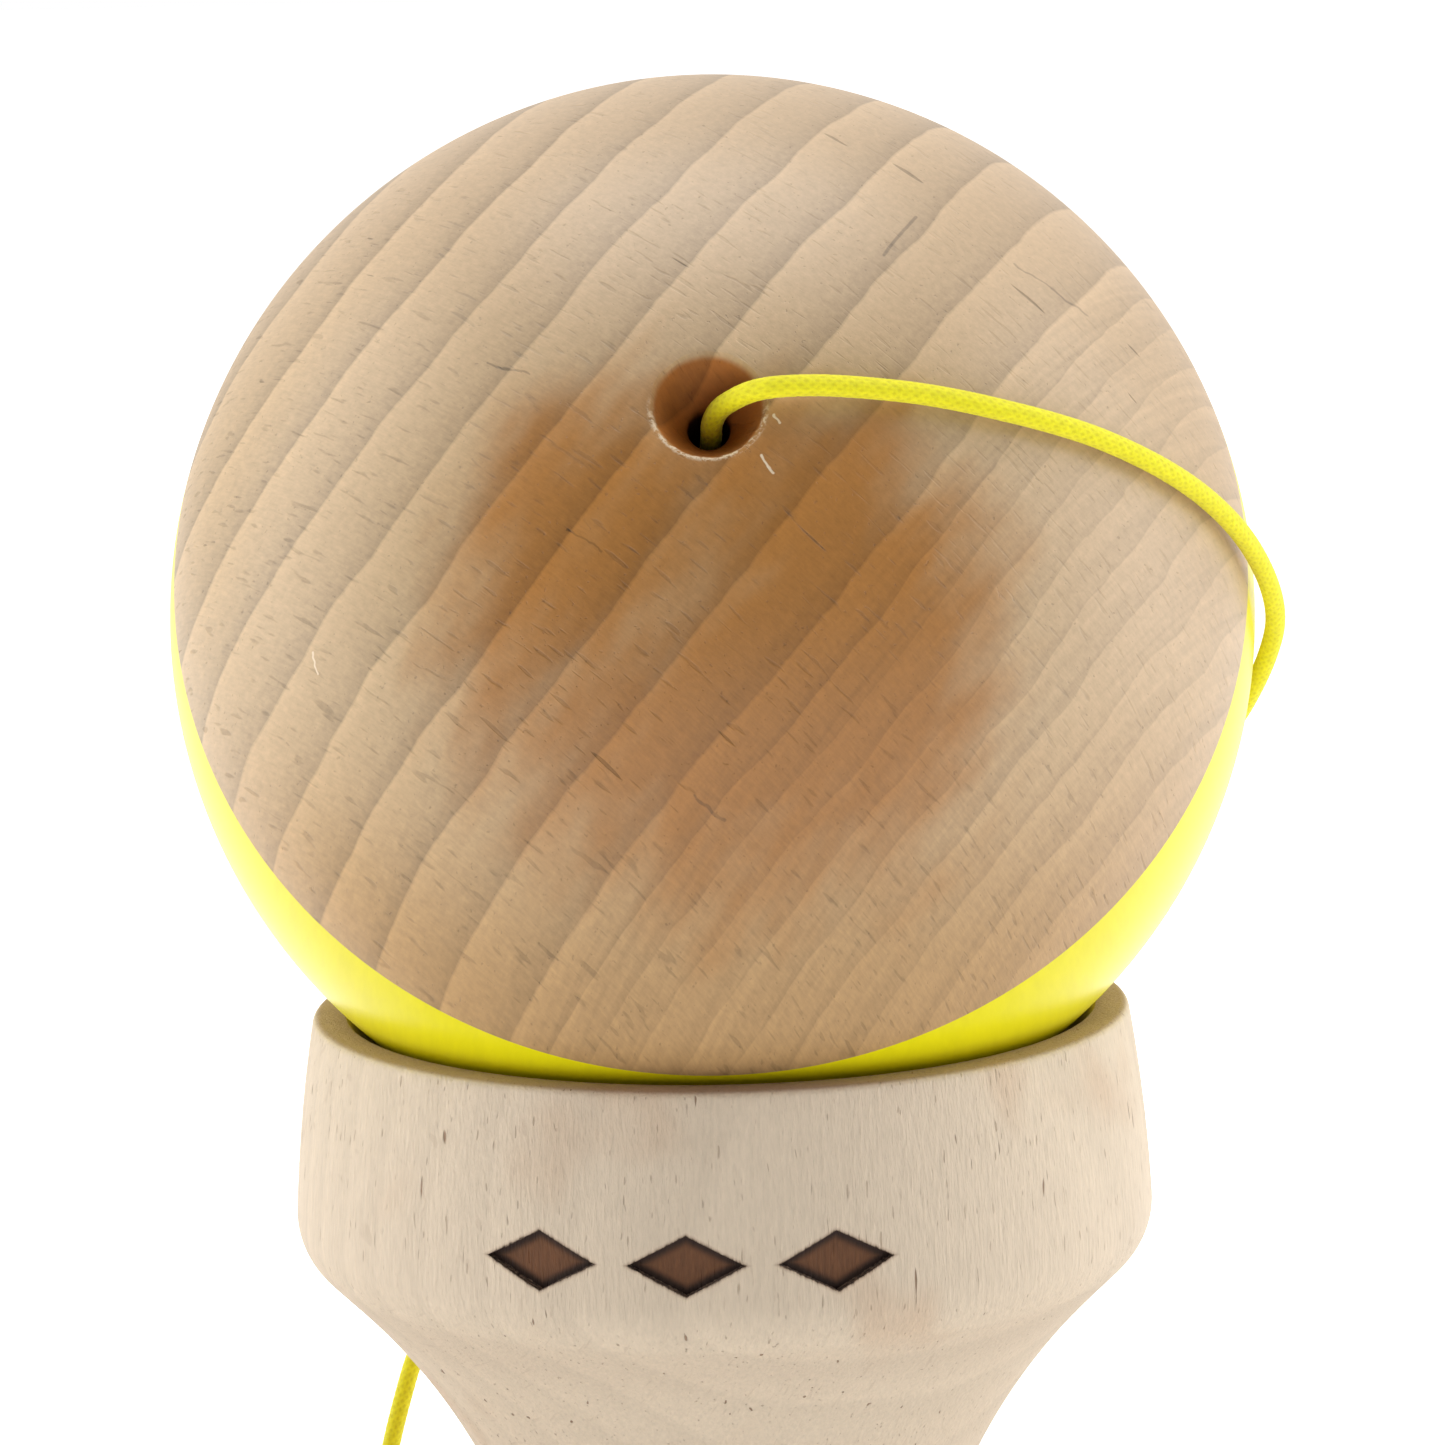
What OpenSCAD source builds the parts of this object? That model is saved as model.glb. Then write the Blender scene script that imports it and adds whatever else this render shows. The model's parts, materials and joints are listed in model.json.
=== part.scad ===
// Kendama: a ball on a string (tama), a crosspiece with two cups (sarado) and a
// handle with a spike and a base cup (ken). It stands on the small cup, with the
// tama seated in the big cup and the ken lying along X. Millimetres, +Z up.

/* [Tama] */
// Diameter of the ball
tama_d = 60; // [58:0.5:62]
// Height of the tama's centre above the big cup's rim
seat_height = 21.75; // [21.6:0.05:22.5]
// Tilt of the string hole above horizontal, towards the front
hole_tilt = 28.3; // [20:0.1:35]
// Diameter of the string holes in the tama, the bead and the ken
string_hole_d = 2.2; // [1.8:0.1:3]
// Diameter of the string hole's countersink at the surface
funnel_d = 5.8; // [5:0.1:8]
// Depth of the countersink
funnel_depth = 3.3; // [2.5:0.1:4]
// Diameter of the spike hole
spike_hole_d = 22; // [20:0.5:23]
// Depth of the spike hole from the ball's surface
spike_hole_depth = 42; // [38:0.5:44]
// Width of the bevel round the spike hole
spike_hole_bevel = 0.8; // [0.4:0.1:1.2]

/* [Bead and knots] */
// Diameter of the bead inside the tama
bead_d = 8; // [6:0.5:10]
// Height of the bead
bead_h = 6; // [5:0.5:7]
// Diameter of the knots at the ends of the string
knot_d = 3.4; // [3:0.1:4]

/* [Sarado] */
// Length of the crosspiece from rim to rim
sarado_l = 74; // [72:0.5:78]
// Largest diameter of the big cup
big_cup_d = 48.2; // [46:0.1:50]
// Height of the big cup's outer band
big_band_h = 11; // [9:0.5:12]
// Inside diameter of the big cup's rim
big_mouth_d = 41.8; // [41.6:0.1:42.2]
// Depth of the big cup's dish
big_dish_depth = 13; // [12.6:0.1:14]
// Largest diameter of the small cup
small_cup_d = 43.8; // [42:0.1:45]
// Height of the small cup's outer band
small_band_h = 9; // [8:0.5:10]
// Inside diameter of the small cup's rim
small_mouth_d = 38; // [36:0.1:38.6]
// Depth of the small cup's dish
small_dish_depth = 10; // [8:0.5:11]
// Diameter of the waist that the ken passes through
waist_d = 26; // [25:0.5:28]

/* [Ken] */
// Length of the ken
ken_l = 165; // [160:1:170]
// Distance from the sarado's axis to the spike's tip
spike_reach = 64.5; // [60:0.5:68]
// Diameter of the seat where it enters the sarado from the handle side
seat_d = 17.8; // [17:0.1:18.4]
// Loss of diameter along the tapered seat
seat_taper = 1; // [0.6:0.1:1.6]
// Largest diameter of the grip
grip_d = 18.8; // [18.2:0.1:20]
// Diameter of the neck above the base cup
neck_d = 15.6; // [15:0.1:17]
// Largest diameter of the base cup
base_cup_d = 40; // [38:0.5:42]
// Height of the base cup's outer band
base_band_h = 7; // [6:0.5:8]
// Inside diameter of the base cup's rim
base_mouth_d = 34.6; // [33:0.1:35]
// Depth of the base cup's dish
base_dish_depth = 8; // [6:0.5:9]
// Diameter of the spike just behind its bevelled tip
spike_tip_d = 7.8; // [7:0.1:9]

/* [Burnt marks] */
// Number of burnt lozenges on the big cup's band
mark_count = 3; // [1:1:5]
// Width of one lozenge
mark_w = 6.2; // [4:0.1:7]
// Height of one lozenge
mark_h = 3.2; // [2:0.1:4]
// Depth of the burn below the band's widest point
mark_depth = 0.5; // [0.3:0.05:0.7]
// Angle from one lozenge to the next
mark_pitch = 19; // [17:0.5:24]
// Height of the lozenges' centres below the big cup's rim
mark_drop = 9; // [6:0.1:9.5]

/* [String] */
// Diameter of the string
string_d = 1.1; // [0.9:0.1:1.4]
// Turns in the stored coil
coil_turns = 2.5; // [2.5:1:4.5]

/* [Hidden] */
$fn = 96;

WOOD_BALL = "#c9a882";
WOOD_PALE = "#e6dac8";
YELLOW = "#ece52c";

// Places: the sarado's axis, the ken's height and the tama's centre
sarado_x = ken_l / 2 - spike_reach;
base_x = -ken_l / 2;
tama_r = tama_d / 2;
tama_z = sarado_l + seat_height;
tama_c = [sarado_x, 0, tama_z];
waist_r = waist_d / 2;

// Shared shape of the turned cups
foot_lean = 3;     // lean of the band at its foot, in degrees
rim_edge_h = 0.4;  // height of the rounded outer edge of a rim
band_arc_r = 90;   // radius of the band's slight belly
corner_r = 4;      // round under the band
chamfer_slope = 45;
chamfer_l = 2.3;
cove_slope = 24;   // slope where the long cove meets the short one
short_cove_r = 6;
arc_steps = 6;
overcut = 1;       // how far a cutting tool runs past the surface
slip = 0.05;       // radial clearance of the ken's seat in the sarado
stand_off = 0.15;  // gap between the string and what it lies on

// Stations along the tama's own axis, outwards from its centre to the string hole
spike_hole_floor = spike_hole_depth - tama_r;
bead_gap = 0.1;
bead_top = spike_hole_floor - bead_gap;
knot_top = bead_top - bead_h;

function arc(c, r, a0, a1) =
    [for (i = [0:arc_steps]) let (a = a0 + (a1 - a0) * i / arc_steps) c + r * [cos(a), sin(a)]];
function last(p) = p[len(p) - 1];
function unit(v) = v / norm(v);
// Radius of the sphere that cuts a dish of this mouth and depth
function dish_r(mouth_d, depth) = (pow(mouth_d / 2, 2) + depth * depth) / (2 * depth);

// Outer side of a cup from its rim to its stem, as [radius, distance from the rim]
function rim_lean(band_h) = asin((band_h - rim_edge_h) / band_arc_r + sin(foot_lean));
function band(max_r, band_h) =
    arc([max_r, band_h] - band_arc_r * [cos(foot_lean), -sin(foot_lean)], band_arc_r,
        -rim_lean(band_h), -foot_lean);
function rim_edge(p, lean) =
    let (r = rim_edge_h / (1 - sin(lean)))
    arc(p - r * [cos(lean), -sin(lean)], r, -90, -lean);
function corner(p) =
    arc(p - corner_r * [cos(foot_lean), -sin(foot_lean)], corner_r, -foot_lean, chamfer_slope);
function long_cove_r(from_r, stem_r) =
    (from_r - stem_r - short_cove_r * (1 - cos(cove_slope))) / (cos(cove_slope) - cos(chamfer_slope));
function cove(p, r, a0, a1) = arc(p + r * [cos(a0), sin(a0)], r, 180 + a0, 180 + a1);
function cup_side(max_r, band_h, stem_r) =
    let (side = band(max_r, band_h),
         edge = rim_edge(side[0], rim_lean(band_h)),
         under = corner(last(side)),
         slope_end = last(under) + chamfer_l * [-sin(chamfer_slope), cos(chamfer_slope)],
         long = cove(slope_end, long_cove_r(slope_end[0], stem_r), chamfer_slope, cove_slope),
         short = cove(last(long), short_cove_r, cove_slope, 0))
    concat(edge, side, under, long, short);
function flip(p, top) = [for (q = p) [q[0], top - q[1]]];
function reversed(p) = [for (i = [len(p) - 1:-1:0]) p[i]];

big_side = flip(cup_side(big_cup_d / 2, big_band_h, waist_r), sarado_l);
small_side = cup_side(small_cup_d / 2, small_band_h, waist_r);
base_side = cup_side(base_cup_d / 2, base_band_h, neck_d / 2);
ken_z = (last(big_side)[1] + last(small_side)[1]) / 2;

// Stations along the ken from its base cup's rim
neck_end = last(base_side)[1];
sarado_s = ken_l - spike_reach;
seat_start = sarado_s - waist_r;
seat_end = sarado_s + waist_r;
grip_shoulder = 1.5; // length of the chamfer from the grip to the seat
grip_gap = 2;        // length between the grip and the sarado
grip_end = seat_start - grip_gap;
grip_widest = 0.65;  // where the grip reaches its full width, as a share of its length
grip_full = neck_end + grip_widest * (grip_end - neck_end);
tip_bevel_l = 3;
tip_flat_r = 2;
tip_edge_w = 0.6;  // rounded edge of the flat tip, across and along
tip_edge_l = 0.5;
spike_belly = 0.6; // how far the spike bulges outside a straight taper
knot_seat = 5;     // distance of the knot's seat from the ken's axis

// Ken outline as [radius, distance from the base cup's rim]
function grip_swell(u) = neck_d / 2 + (grip_d - neck_d) / 2 * (1 - cos(180 * u)) / 2;
grip_side = [for (i = [1:10]) [grip_swell(i / 10), neck_end + (grip_full - neck_end) * i / 10]];
function seat_r(s) = (seat_d - seat_taper * (s - seat_start) / (seat_end - seat_start)) / 2;
spike_l = ken_l - tip_bevel_l - seat_end;
function spike_r(u) = seat_r(seat_end) * (1 - u) + spike_tip_d / 2 * u + spike_belly * sin(180 * u);
spike_side = [for (i = [1:8]) [spike_r(i / 8), seat_end + spike_l * i / 8]];
ken_side = concat(base_side, grip_side,
                  [[grip_d / 2, grip_end - grip_shoulder], [seat_r(grip_end), grip_end],
                   [seat_r(seat_end), seat_end]],
                  spike_side, [[tip_flat_r + tip_edge_w, ken_l - tip_edge_l], [tip_flat_r, ken_l]]);

// String: points on and round the tama and the sarado, by azimuth from the front
// towards +X, then elevation or height
function on_tama(az, el, r) = tama_c + r * [sin(az) * cos(el), -cos(az) * cos(el), sin(el)];
function round_sarado(az, r, z) = [sarado_x + r * sin(az), -r * cos(az), z];
lay_r = tama_r + string_d / 2 + stand_off;
route_in_tama = [for (r = [knot_top + 0.1, 12, 18, 22.5]) on_tama(0, hole_tilt, r)];
route_on_tama = [
    on_tama(0.3, hole_tilt, 25.6),
    on_tama(0.45, 28.8, 27),
    on_tama(1.3, 29.2, 28.15),
    on_tama(2.85, 29.2, 29.3),
    on_tama(4.65, 29.15, 30.25),
    on_tama(6.6, 29.05, 30.8),
    on_tama(8.9, 29, 31),
    on_tama(13.1, 29, 30.85),
    for (p = [[21.4, 28.15], [26.8, 27.1], [32, 25.8], [38.6, 23.95], [45, 21.8], [54, 18], [62, 14]])
        on_tama(p[0], p[1], lay_r),
    on_tama(70, 9.2, lay_r + 0.1),
    on_tama(78, 3.6, lay_r + 0.3),
    on_tama(84, -0.8, lay_r + 0.4),
    on_tama(89, -5, lay_r + 0.2),
    for (p = [[95, -10], [99.4, -13.3], [104, -16.5], [109.4, -20.1], [115, -23.5], [121.3, -26.85],
              [128, -30], [134.8, -32.9], [142, -35.5], [149.3, -37.65], [157, -39.5], [164.4, -41],
              [172, -42]])
        on_tama(p[0], p[1], lay_r)];
route_down_back = [
    round_sarado(184, 23.4, 74.7),
    round_sarado(190, 23.8, 72.6),
    round_sarado(196, 24.2, 69.6),
    round_sarado(202, 24.6, 66),
    round_sarado(207, 24.8, 62),
    [4.4, 22.2, 58],
    [2.1, 22.3, 54],
    [0.2, 22.3, 50.6],
    [-1.2, 22.3, 47.6],
    [-2.1, 22.3, 44.8],
    [-2.9, 22.4, 41.8],
    [-4.1, 22.8, 36],
    [-5.2, 23.6, 28],
    [-6, 24.6, 20],
    [-6.5, 25.6, 13],
    [-6.7, 26.8, 7.5],
    [-6.6, 28.2, 4],
    [-6.4, 30.2, 1.6],
    [-6.1, 32.6, 0.7],
    [-5.7, 35.5, 0.6],
    [-5.4, 38.6, 0.6]];
route_ken_side = [
    for (y = [-4.9, 0, 7, 12]) [sarado_x, y, ken_z],
    for (p = [[14.3, 34.2], [15.9, 32.8], [16.6, 30.4], [16.8, 26], [17, 21.5], [18.2, 18],
              [20.6, 15], [22.4, 12], [22.9, 8.5]])
        [sarado_x, p[0], p[1]],
    [17.9, 23.1, 5],
    [17.4, 24, 2.4],
    [16.4, 26, 0.9],
    [14.6, 29, 0.6],
    [11.8, 33.8, 0.6],
    [9.9, 37.4, 0.6],
    [9.3, 39.2, 0.6]];

// Stored coil, lying on the floor behind the sarado
coil_c = [2, 44];
coil_mid_r = 6 * string_d;

// Sweep a tube along a route: one ring a point, each turned no more than the route turns
tube_sides = 8;
function tangents(p) =
    [for (i = [0:len(p) - 1]) unit(p[min(i + 1, len(p) - 1)] - p[max(i - 1, 0)])];
function level(n, t) = unit(n - (n * t) * t);
function normals(t) =
    [for (i = 0, n = level([0.3, 0.2, 0.9], t[0]);
          i < len(t);
          i = i + 1, n = i < len(t) ? level(n, t[i]) : n) n];
module tube(p, d) {
    t = tangents(p);
    n = normals(t);
    rings = [for (i = [0:len(p) - 1], k = [0:tube_sides - 1])
        let (a = 360 * k / tube_sides)
        p[i] + d / 2 * (cos(a) * n[i] + sin(a) * cross(t[i], n[i]))];
    first_cap = [for (k = [0:tube_sides - 1]) k];
    last_cap = [for (k = [tube_sides - 1:-1:0]) (len(p) - 1) * tube_sides + k];
    sides = [for (i = [0:len(p) - 2], k = [0:tube_sides - 1])
        let (m = (k + 1) % tube_sides, a = i * tube_sides)
        [a + k, a + tube_sides + k, a + tube_sides + m, a + m]];
    polyhedron(points = rings, faces = concat([first_cap, last_cap], sides), convexity = 8);
}

// Turn a shape built along +Z so that +Z points out of the string hole
module along_tama() {
    translate(tama_c) rotate([90 - hole_tilt, 0, 0]) children();
}

// Turn a shape built along +Z so that it runs along the ken from its base cup's rim
module along_ken() {
    translate([base_x, 0, ken_z]) rotate([0, 90, 0]) children();
}

module tama() {
    mouth = sqrt(tama_r * tama_r - pow(spike_hole_d / 2, 2));
    color(WOOD_BALL) along_tama() difference() {
        sphere(tama_r);
        translate([0, 0, -tama_r - overcut])
            cylinder(d = spike_hole_d, h = tama_r + overcut + spike_hole_floor);
        translate([0, 0, -mouth - overcut])
            cylinder(r1 = spike_hole_d / 2 + spike_hole_bevel + overcut, r2 = spike_hole_d / 2,
                     h = spike_hole_bevel + overcut);
        cylinder(d = string_hole_d, h = tama_r + overcut);
        string_funnel();
    }
}

// Countersink at the mouth of the string hole
module string_funnel() {
    lip = sqrt(tama_r * tama_r - pow(funnel_d / 2, 2));
    flare = (funnel_d - string_hole_d) / 2 / funnel_depth;
    translate([0, 0, lip - funnel_depth])
        cylinder(r1 = string_hole_d / 2, r2 = funnel_d / 2 + overcut * flare, h = funnel_depth + overcut);
}

module bead() {
    edge = 1.2;
    color(WOOD_PALE) along_tama() translate([0, 0, knot_top]) difference() {
        rotate_extrude() polygon(concat(
            [[0, 0]],
            arc([bead_d / 2 - edge, edge], edge, -90, 0),
            arc([bead_d / 2 - edge, bead_h - edge], edge, 0, 90),
            [[0, bead_h]]));
        translate([0, 0, -overcut]) cylinder(d = string_hole_d, h = bead_h + 2 * overcut);
    }
}

// Knot with a flat face at the origin and its lump below it
module knot() {
    flat = 0.5;
    difference() {
        translate([0, 0, flat - knot_d / 2]) sphere(d = knot_d);
        translate([0, 0, knot_d / 2]) cube([knot_d, knot_d, knot_d], center = true);
    }
}

module tama_knot() {
    color(YELLOW) along_tama() translate([0, 0, knot_top]) knot();
}

module sarado() {
    big_r = dish_r(big_mouth_d, big_dish_depth);
    small_r = dish_r(small_mouth_d, small_dish_depth);
    color(WOOD_PALE) translate([sarado_x, 0, 0]) difference() {
        rotate_extrude() polygon(concat([[0, 0]], small_side, reversed(big_side), [[0, sarado_l]]));
        translate([0, 0, sarado_l - big_dish_depth + big_r]) sphere(big_r);
        translate([0, 0, small_dish_depth - small_r]) sphere(small_r);
        translate([-waist_r - overcut, 0, ken_z]) rotate([0, 90, 0]) seat_bore();
        translate([0, 0, ken_z]) rotate([-90, 0, 0]) cylinder(d = string_hole_d, h = waist_r + overcut);
        burnt_marks();
    }
}

// Tapered hole that the ken's seat jams in
module seat_bore() {
    cylinder(r1 = seat_r(seat_start - overcut) + slip, r2 = seat_r(seat_end + overcut) + slip,
             h = waist_d + 2 * overcut);
}

// Plain lozenges sunk into the front of the big cup's band
module burnt_marks() {
    row_turn = -5; // turn of the whole row towards -X
    floor_r = big_cup_d / 2 - mark_depth;
    cutter_r = big_cup_d / 2 + overcut;
    for (i = [0:mark_count - 1]) {
        turn = row_turn + (i - (mark_count - 1) / 2) * mark_pitch;
        translate([0, 0, sarado_l - mark_drop]) intersection() {
            rotate([0, 0, turn]) rotate([90, 0, 0]) linear_extrude(cutter_r)
                polygon([[-mark_w / 2, 0], [0, -mark_h / 2], [mark_w / 2, 0], [0, mark_h / 2]]);
            difference() {
                cylinder(r = cutter_r + overcut, h = 2 * mark_h, center = true);
                cylinder(r = floor_r, h = 3 * mark_h, center = true);
            }
        }
    }
}

module ken() {
    base_r = dish_r(base_mouth_d, base_dish_depth);
    knot_pocket_d = 5;
    color(WOOD_PALE) difference() {
        along_ken() difference() {
            rotate_extrude() polygon(concat([[0, 0]], ken_side, [[0, ken_l]]));
            translate([0, 0, base_dish_depth - base_r]) sphere(base_r);
        }
        translate([sarado_x, 0, ken_z]) rotate([90, 0, 0])
            cylinder(d = string_hole_d, h = seat_d + overcut, center = true);
        translate([sarado_x, -knot_seat, ken_z]) rotate([90, 0, 0]) cylinder(d = knot_pocket_d, h = seat_d);
    }
}

module ken_knot() {
    color(YELLOW) translate([sarado_x, -knot_seat, ken_z]) rotate([-90, 0, 0]) knot();
}

module string_tama_side() {
    color(YELLOW) tube(concat(route_in_tama, route_on_tama, route_down_back), string_d);
}

module string_ken_side() {
    color(YELLOW) tube(route_ken_side, string_d);
}

module string_coil() {
    turns_wide = 2;
    turns_high = ceil(coil_turns / turns_wide);
    color(YELLOW) translate([coil_c[0], coil_c[1], 0]) rotate_extrude()
        translate([coil_mid_r - turns_wide * string_d / 2, 0])
            square([turns_wide * string_d, turns_high * string_d]);
}

tama();
bead();
tama_knot();
sarado();
ken();
ken_knot();
string_tama_side();
string_coil();
string_ken_side();
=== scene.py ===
# Kendama: a ball on a braided string, seated in the big cup of a turned crosspiece
# on a spiked handle. Lengths below are in millimetres unless a name says otherwise.
import json
import math

import bmesh
import bpy
import numpy as np
from mathutils import Matrix, Vector, noise


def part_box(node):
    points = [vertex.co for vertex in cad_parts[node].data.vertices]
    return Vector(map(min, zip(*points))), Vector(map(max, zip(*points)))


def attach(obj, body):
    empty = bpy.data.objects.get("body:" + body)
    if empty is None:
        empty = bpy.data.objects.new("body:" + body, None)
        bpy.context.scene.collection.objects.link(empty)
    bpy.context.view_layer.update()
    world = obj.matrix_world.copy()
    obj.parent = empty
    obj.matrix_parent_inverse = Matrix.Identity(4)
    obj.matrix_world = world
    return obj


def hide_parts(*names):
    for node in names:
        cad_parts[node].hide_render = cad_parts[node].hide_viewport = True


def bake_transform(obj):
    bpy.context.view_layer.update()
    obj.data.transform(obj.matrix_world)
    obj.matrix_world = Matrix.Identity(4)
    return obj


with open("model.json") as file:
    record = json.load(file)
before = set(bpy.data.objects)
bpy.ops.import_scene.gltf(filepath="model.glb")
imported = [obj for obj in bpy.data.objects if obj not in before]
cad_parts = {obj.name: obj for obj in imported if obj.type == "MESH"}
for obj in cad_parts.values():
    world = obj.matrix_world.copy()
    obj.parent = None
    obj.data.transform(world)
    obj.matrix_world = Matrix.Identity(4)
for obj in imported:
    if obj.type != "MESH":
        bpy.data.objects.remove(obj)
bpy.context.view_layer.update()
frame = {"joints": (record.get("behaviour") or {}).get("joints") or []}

MM = 0.001

# ---------------------------------------------------------------- places from the frame
tama_lo, tama_hi = (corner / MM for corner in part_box("tama"))
sarado_lo, sarado_hi = (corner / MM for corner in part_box("sarado"))
ken_lo, ken_hi = (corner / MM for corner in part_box("ken"))
TAMA_C = (tama_lo + tama_hi) / 2
TAMA_R = (tama_hi.z - tama_lo.z) / 2
SARADO_X = (sarado_lo.x + sarado_hi.x) / 2
SARADO_L = sarado_hi.z
BASE_X = ken_lo.x
KEN_L = ken_hi.x - ken_lo.x
KEN_Z = (ken_lo.z + ken_hi.z) / 2
joints = {joint["name"]: joint for joint in frame["joints"]}
HOLE_DIR = Vector(joints["tama_spin"]["axis"]).normalized()
HOLE_TILT = math.degrees(math.asin(HOLE_DIR.z))

# ---------------------------------------------------------------- sizes shared with the frame
STRING_HOLE_D = 2.2
FUNNEL_D = 5.8
FUNNEL_DEPTH = 3.3
SPIKE_HOLE_D = 22
SPIKE_FLOOR = 12  # distance of the spike hole's floor from the tama's centre
SPIKE_BEVEL = 0.8
BEAD_D = 8
BEAD_H = 6
BEAD_TOP = 11.9
KNOT_TOP = BEAD_TOP - BEAD_H
BIG_CUP = dict(max_r=24.1, band_h=11, mouth_r=20.9, dish=13, stem_r=13)
SMALL_CUP = dict(max_r=21.9, band_h=9, mouth_r=19, dish=10, stem_r=13)
BASE_CUP = dict(max_r=20, band_h=7, mouth_r=17.3, dish=8, stem_r=7.8)
SPIKE_REACH = KEN_L / 2 - SARADO_X
SEAT_D = 17.8
SEAT_TAPER = 1
SEAT_SLIP = 0.05
GRIP_D = 18.8
NECK_D = 15.6
GRIP_GAP = 2         # from the grip to the sarado
GRIP_SHOULDER = 1.5  # length of the chamfer between the grip and the seat
GRIP_WIDEST = 0.65   # where the grip reaches its full width, as a share of its length
SPIKE_TIP_R = 3.9
SPIKE_BELLY = 0.6    # how far the spike bulges outside a straight taper
TIP_BEVEL_L = 3
KNOT_POCKET_D = 5
KNOT_SEAT = 5
STRING_D = 1.1
MARK_W = 6.2
MARK_H = 3.2
MARK_DROP = 9
MARK_FLOOR_R = 23.6
MARK_PITCH = 19
MARK_MIDDLE = -5

# ---------------------------------------------------------------- camera
CAMERA_BACK = 272.75
CAMERA_UP = 35.08
CAMERA_FOV = 16.63
CAMERA_DIP = 8.54
CAMERA_YAW = 0.09
CAMERA_ROLL = -1.17


def make_camera():
    data = bpy.data.cameras.new("camera")
    data.sensor_width = 36
    data.angle = math.radians(CAMERA_FOV)
    data.clip_start = 0.01
    data.clip_end = 50
    camera = bpy.data.objects.new("camera", data)
    camera.location = (TAMA_C + Vector((0, -CAMERA_BACK, CAMERA_UP))) * MM
    level = Matrix.Rotation(math.radians(90), 3, "X")
    yaw = Matrix.Rotation(math.radians(-CAMERA_YAW), 3, "Z")
    dip = Matrix.Rotation(math.radians(-CAMERA_DIP), 3, "X")
    roll = Matrix.Rotation(math.radians(CAMERA_ROLL), 3, "Z")
    camera.rotation_euler = (yaw @ dip @ level @ roll).to_euler()
    bpy.context.scene.collection.objects.link(camera)
    bpy.context.scene.camera = camera


make_camera()


# ---------------------------------------------------------------- mesh helpers
SHARP_ANGLE = 35       # edges that bend more than this stay sharp, in degrees
SMALLEST_EDGE = 0.002  # shorter edges, left by cutting, are dissolved


def mesh_object(name, points, faces):
    """Object from points in mm and faces, with every face turned outwards."""
    mesh = bpy.data.meshes.new(name)
    mesh.from_pydata([tuple(MM * x for x in p) for p in points], [], faces)
    piece = bpy.data.objects.new(name, mesh)
    bpy.context.scene.collection.objects.link(piece)
    tidy_mesh(piece)
    return piece


def tidy_mesh(piece):
    form = bmesh.new()
    form.from_mesh(piece.data)
    bmesh.ops.dissolve_degenerate(form, dist=SMALLEST_EDGE * MM, edges=form.edges)
    bmesh.ops.recalc_face_normals(form, faces=form.faces)
    form.to_mesh(piece.data)
    form.free()
    for polygon in piece.data.polygons:
        polygon.use_smooth = True
    piece.data.set_sharp_from_angle(angle=math.radians(SHARP_ANGLE))


def lathe(name, profile, turns, place, closed=False, wobble=None):
    """Turn [radius, height] points about local Z, then put the form at place."""
    points, rings = [], []
    for k, (radius, height) in enumerate(profile):
        count = 1 if radius < 1e-6 else turns
        ring = []
        for i in range(count):
            angle = 2 * math.pi * i / turns
            r, h = wobble(k, angle, radius, height) if wobble else (radius, height)
            ring.append(len(points))
            points.append(place @ Vector((r * math.cos(angle), r * math.sin(angle), h)))
        rings.append(ring)
    pairs = list(zip(rings, rings[1:] + rings[:1])) if closed else list(zip(rings, rings[1:]))
    faces = []
    for low, high in pairs:
        for i in range(turns):
            j = (i + 1) % turns
            quad = [low[i % len(low)], low[j % len(low)], high[j % len(high)], high[i % len(high)]]
            faces.append(list(dict.fromkeys(quad)))
    return mesh_object(name, points, faces)


def cut(piece, cutter):
    """Take cutter away from piece, then delete it."""
    step = piece.modifiers.new("cut", "BOOLEAN")
    step.operation = "DIFFERENCE"
    step.solver = "EXACT"
    step.object = cutter
    bpy.context.view_layer.update()
    result = bpy.data.meshes.new_from_object(piece.evaluated_get(bpy.context.evaluated_depsgraph_get()))
    piece.modifiers.clear()
    piece.data = result
    bpy.data.objects.remove(cutter)


def rod(name, radius_a, radius_b, start, end, turns=64):
    """Solid cone from start to end."""
    along = Vector(end) - Vector(start)
    turn = Vector((0, 0, 1)).rotation_difference(along.normalized())
    place = Matrix.Translation(start) @ turn.to_matrix().to_4x4()
    return lathe(name, [(0, 0), (radius_a, 0), (radius_b, along.length), (0, along.length)], turns, place)


def arc(centre, radius, a0, a1, steps=10):
    """Points on an arc, angles in degrees."""
    angles = [math.radians(a0 + (a1 - a0) * i / steps) for i in range(steps + 1)]
    return [(centre[0] + radius * math.cos(a), centre[1] + radius * math.sin(a)) for a in angles]


def sphere_join(radius):
    """Distance from the tama's centre at which its surface has this radius about an axis."""
    return math.sqrt(TAMA_R ** 2 - radius ** 2)


# ---------------------------------------------------------------- outlines of the turned wood
FOOT_LEAN = 3
RIM_EDGE = 0.4
BAND_ARC_R = 90
CORNER_R = 4
CHAMFER_SLOPE = 45
CHAMFER_L = 2.3
COVE_SLOPE = 24
SHORT_COVE_R = 6


def cosd(a):
    return math.cos(math.radians(a))


def sind(a):
    return math.sin(math.radians(a))


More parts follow.
